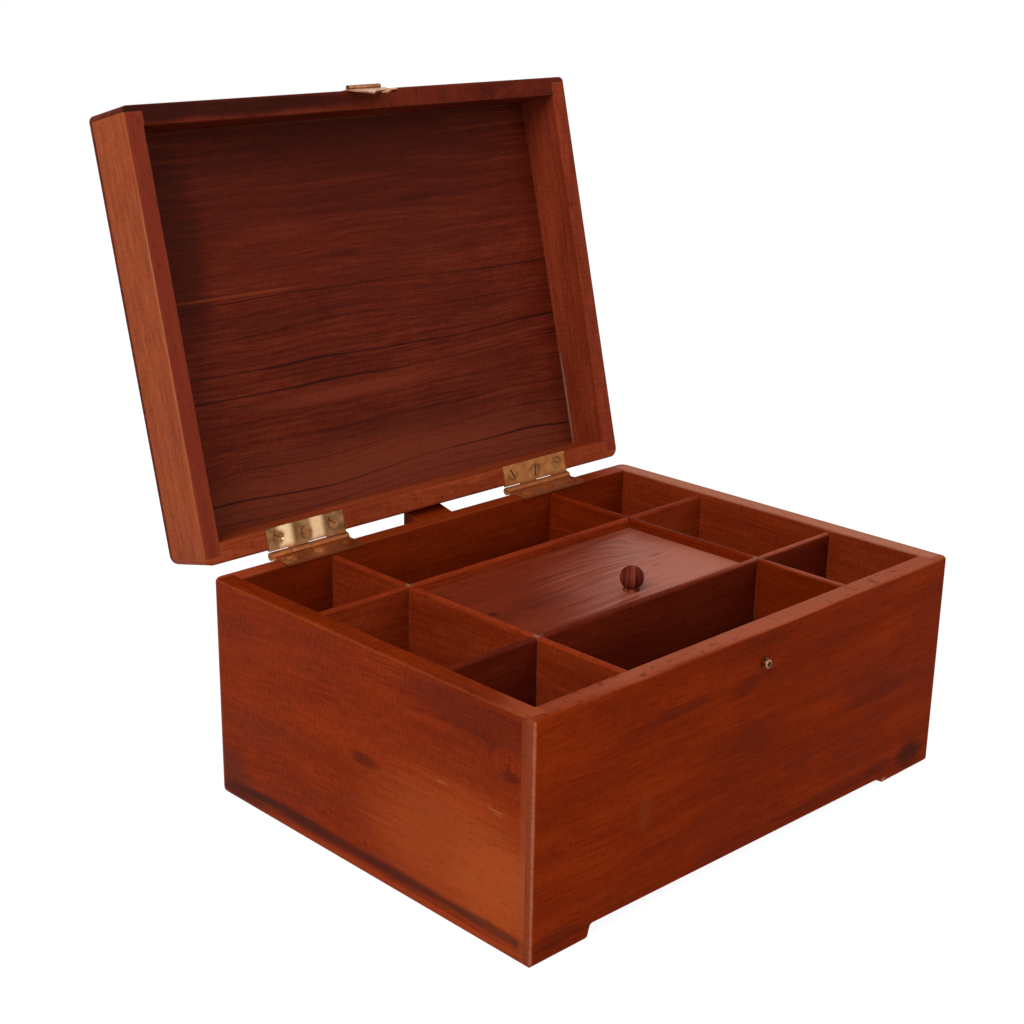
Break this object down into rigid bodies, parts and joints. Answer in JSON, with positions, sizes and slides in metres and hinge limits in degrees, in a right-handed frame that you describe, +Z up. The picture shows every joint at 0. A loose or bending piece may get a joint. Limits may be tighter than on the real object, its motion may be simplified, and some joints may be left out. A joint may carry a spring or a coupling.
{
  "type": "desk organizer",
  "caption": "Wooden desk box with small compartments, a lift-out inner lid with a turned knob, and a hinged lid that a brass clasp holds shut.",
  "frame": {"origin": "on the surface it stands on, under the middle of the open box's outline", "axes": "+X along the box to the right, +Y to the back where the hinges are, +Z up"},
  "size_m": [0.305, 0.323, 0.3467],
  "materials": {
    "carcass_wood": "oiled satin",
    "divider_wood": "oiled satin",
    "inner_lid_wood": "oiled satin",
    "knob_wood": "turned and waxed",
    "lid_wood": "oiled satin",
    "hinge_brass": "worn and dull",
    "clasp_brass": "worn and dull"
  },
  "bodies": {
    "box": {"front_board": "carcass_wood", "back_board": "carcass_wood", "left_side": "carcass_wood", "right_side": "carcass_wood", "bottom_panel": "carcass_wood", "long_divider_front": "divider_wood", "long_divider_rear": "divider_wood", "cross_divider_left": "divider_wood", "cross_divider_right": "divider_wood", "inner_lid_ledge_front": "divider_wood", "inner_lid_ledge_rear": "divider_wood", "lid_stop_block": "carcass_wood", "catch_stud": "clasp_brass", "hinge_left_box_leaf": "hinge_brass", "hinge_right_box_leaf": "hinge_brass", "hinge_left_pin": "hinge_brass", "hinge_right_pin": "hinge_brass", "box_leaf_screws": "hinge_brass"},
    "lid": {"lid_front_rail": "lid_wood", "lid_back_rail": "lid_wood", "lid_left_rail": "lid_wood", "lid_right_rail": "lid_wood", "lid_top_panel": "lid_wood", "hinge_left_lid_leaf": "hinge_brass", "hinge_right_lid_leaf": "hinge_brass", "lid_leaf_screws": "hinge_brass", "clasp_leaf": "clasp_brass", "clasp_screws": "clasp_brass"},
    "clasp_pin": {"clasp_pin": "clasp_brass"},
    "clasp_tongue": {"clasp_tongue": "clasp_brass"},
    "inner_lid": {"inner_lid_panel": "inner_lid_wood", "inner_lid_knob": "knob_wood"}
  },
  "joints": [
    {"name": "lid_hinge", "type": "hinge", "parent": "box", "child": "lid", "pos_m": [0, 0.07372, 0.1185], "axis": [-1, 0, 0], "range_deg": [-103.8, 0]},
    {"name": "clasp_pin_turn", "type": "hinge", "parent": "lid", "child": "clasp_pin", "pos_m": [0, 0.13048, 0.34541], "axis": [-1, 0, 0], "range_deg": [0, 16.3]},
    {"name": "clasp_swing", "type": "hinge", "parent": "clasp_pin", "child": "clasp_tongue", "pos_m": [0, 0.13048, 0.34541], "axis": [-1, 0, 0], "range_deg": [0, 150]},
    {"name": "inner_lid_lift", "type": "slide", "parent": "box", "child": "inner_lid", "axis": [0, 0, 1], "range_m": [0, 0.018]}
  ],
  "couplings": [
    {"joint": "clasp_pin_turn", "follows": "lid_hinge", "ratio": -0.15703}
  ]
}
